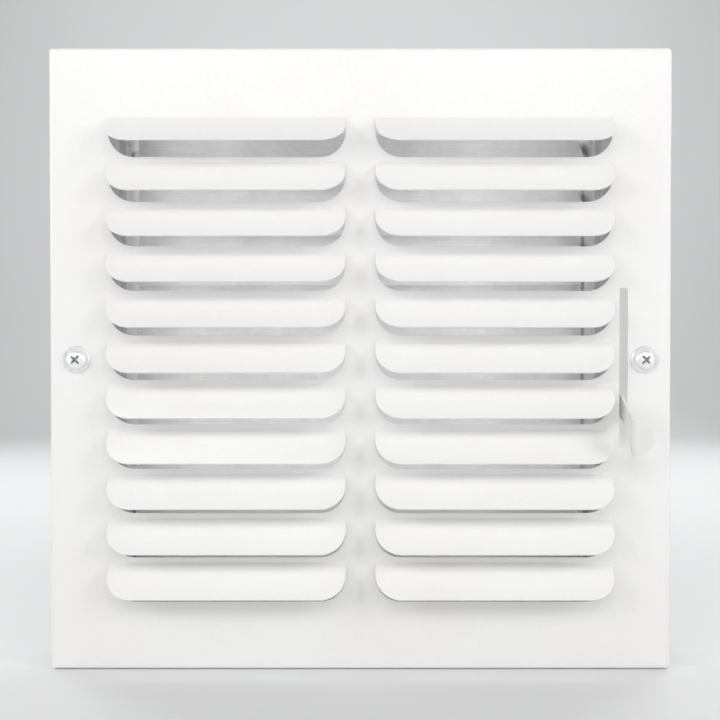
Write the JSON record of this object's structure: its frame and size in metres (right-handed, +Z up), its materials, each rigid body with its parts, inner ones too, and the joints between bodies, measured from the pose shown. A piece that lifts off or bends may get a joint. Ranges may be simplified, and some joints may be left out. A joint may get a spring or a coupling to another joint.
{
  "type": "louvred air grille",
  "caption": "Square stamped-steel wall register with lanced louvres, a thumb lever and a multi-blade damper that opens and closes the duct behind it.",
  "frame": {"origin": "middle of the duct opening, in the wall plane that the face's rim rests on", "axes": "+X right seen from the room, +Y into the wall along the duct, +Z up"},
  "size_m": [0.2476, 0.0535, 0.2476],
  "materials": {
    "white_enamel": "semi-gloss white powder coat",
    "galvanised": "rolled galvanised sheet",
    "rivet_steel": "zinc-plated steel",
    "zinc_screw": "bright zinc plate"
  },
  "bodies": {
    "frame": {"face_plate": "white_enamel", "neck_collar": "galvanised", "side_rail_left": "galvanised", "side_rail_right": "galvanised", "top_rail": "galvanised", "bottom_rail": "galvanised", "frame_rivets": "rivet_steel", "mounting_screws": "zinc_screw"},
    "blade_1": {"damper_blade_1": "galvanised", "pivot_pins_1": "rivet_steel"},
    "blade_2": {"damper_blade_2": "galvanised", "pivot_pins_2": "rivet_steel"},
    "blade_3": {"damper_blade_3": "galvanised", "pivot_pins_3": "rivet_steel"},
    "blade_4": {"damper_blade_4": "galvanised", "pivot_pins_4": "rivet_steel"},
    "blade_5": {"damper_blade_5": "galvanised", "pivot_pin_5": "rivet_steel", "lever_shaft": "rivet_steel", "lever_arm": "white_enamel"},
    "blade_6": {"damper_blade_6": "galvanised", "pivot_pins_6": "rivet_steel"},
    "blade_7": {"damper_blade_7": "galvanised", "pivot_pins_7": "rivet_steel"},
    "blade_8": {"damper_blade_8": "galvanised", "pivot_pins_8": "rivet_steel"},
    "blade_9": {"damper_blade_9": "galvanised", "pivot_pins_9": "rivet_steel"},
    "tie_bar": {"tie_bar": "galvanised", "tie_bar_rivets": "rivet_steel"}
  },
  "joints": [
    {"name": "damper_lever", "type": "hinge", "parent": "frame", "child": "blade_5", "pos_m": [0, 0.016, 0], "axis": [-1, 0, 0], "range_deg": [-9, 78]},
    {"name": "blade_1_pivot", "type": "hinge", "parent": "frame", "child": "blade_1", "pos_m": [0, 0.016, 0.0848], "axis": [-1, 0, 0], "range_deg": [-9, 78]},
    {"name": "blade_2_pivot", "type": "hinge", "parent": "frame", "child": "blade_2", "pos_m": [0, 0.016, 0.0636], "axis": [-1, 0, 0], "range_deg": [-9, 78]},
    {"name": "blade_3_pivot", "type": "hinge", "parent": "frame", "child": "blade_3", "pos_m": [0, 0.016, 0.0424], "axis": [-1, 0, 0], "range_deg": [-9, 78]},
    {"name": "blade_4_pivot", "type": "hinge", "parent": "frame", "child": "blade_4", "pos_m": [0, 0.016, 0.0212], "axis": [-1, 0, 0], "range_deg": [-9, 78]},
    {"name": "blade_6_pivot", "type": "hinge", "parent": "frame", "child": "blade_6", "pos_m": [0, 0.016, -0.0212], "axis": [-1, 0, 0], "range_deg": [-9, 78]},
    {"name": "blade_7_pivot", "type": "hinge", "parent": "frame", "child": "blade_7", "pos_m": [0, 0.016, -0.0424], "axis": [-1, 0, 0], "range_deg": [-9, 78]},
    {"name": "blade_8_pivot", "type": "hinge", "parent": "frame", "child": "blade_8", "pos_m": [0, 0.016, -0.0636], "axis": [-1, 0, 0], "range_deg": [-9, 78]},
    {"name": "blade_9_pivot", "type": "hinge", "parent": "frame", "child": "blade_9", "pos_m": [0, 0.016, -0.0848], "axis": [-1, 0, 0], "range_deg": [-9, 78]},
    {"name": "tie_bar_pivot", "type": "hinge", "parent": "blade_5", "child": "tie_bar", "pos_m": [0, 0.02328, 0.00529], "axis": [-1, 0, 0], "range_deg": [-78, 9]}
  ],
  "couplings": [
    {"joint": "blade_1_pivot", "follows": "damper_lever", "ratio": 1},
    {"joint": "blade_2_pivot", "follows": "damper_lever", "ratio": 1},
    {"joint": "blade_3_pivot", "follows": "damper_lever", "ratio": 1},
    {"joint": "blade_4_pivot", "follows": "damper_lever", "ratio": 1},
    {"joint": "blade_6_pivot", "follows": "damper_lever", "ratio": 1},
    {"joint": "blade_7_pivot", "follows": "damper_lever", "ratio": 1},
    {"joint": "blade_8_pivot", "follows": "damper_lever", "ratio": 1},
    {"joint": "blade_9_pivot", "follows": "damper_lever", "ratio": 1},
    {"joint": "tie_bar_pivot", "follows": "damper_lever", "ratio": -1}
  ]
}
